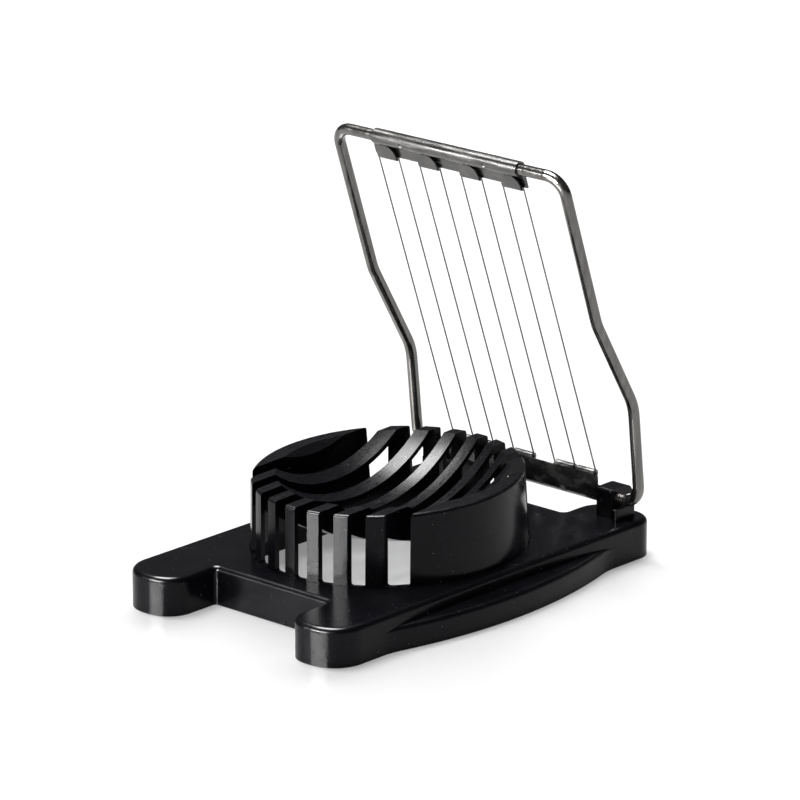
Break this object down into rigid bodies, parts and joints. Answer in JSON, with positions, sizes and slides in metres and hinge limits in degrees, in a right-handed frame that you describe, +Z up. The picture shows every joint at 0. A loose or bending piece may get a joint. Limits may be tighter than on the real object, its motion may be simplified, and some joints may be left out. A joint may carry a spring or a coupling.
{
  "type": "wire egg slicer",
  "caption": "Egg slicer with a moulded base, a slotted round egg cradle and a hinged steel frame strung with fine cutting wires.",
  "frame": {"origin": "centre of the base, on the plane it stands on", "axes": "+Y from the front feet to the hinge at the rear, +X along the hinge, +Z up"},
  "size_m": [0.0872, 0.1218, 0.1103],
  "materials": {
    "black_plastic": "polished black moulded plastic",
    "steel_rod": "bright drawn steel rod",
    "sheet_steel": "dull rolled sheet steel",
    "wire_steel": "drawn stainless wire"
  },
  "bodies": {
    "base": {"base_tray": "black_plastic", "egg_cradle": "black_plastic"},
    "cutting_frame": {"frame_rod": "steel_rod", "upper_strip": "sheet_steel", "lower_strip": "sheet_steel", "cutting_wire_1": "wire_steel", "cutting_wire_2": "wire_steel", "cutting_wire_3": "wire_steel", "cutting_wire_4": "wire_steel", "cutting_wire_5": "wire_steel", "cutting_wire_6": "wire_steel", "cutting_wire_7": "wire_steel", "cutting_wire_8": "wire_steel"}
  },
  "joints": [
    {"name": "frame_hinge", "type": "hinge", "parent": "base", "child": "cutting_frame", "pos_m": [0, 0.0529, 0.01528], "axis": [1, 0, 0], "range_deg": [-30, 72.6]}
  ]
}
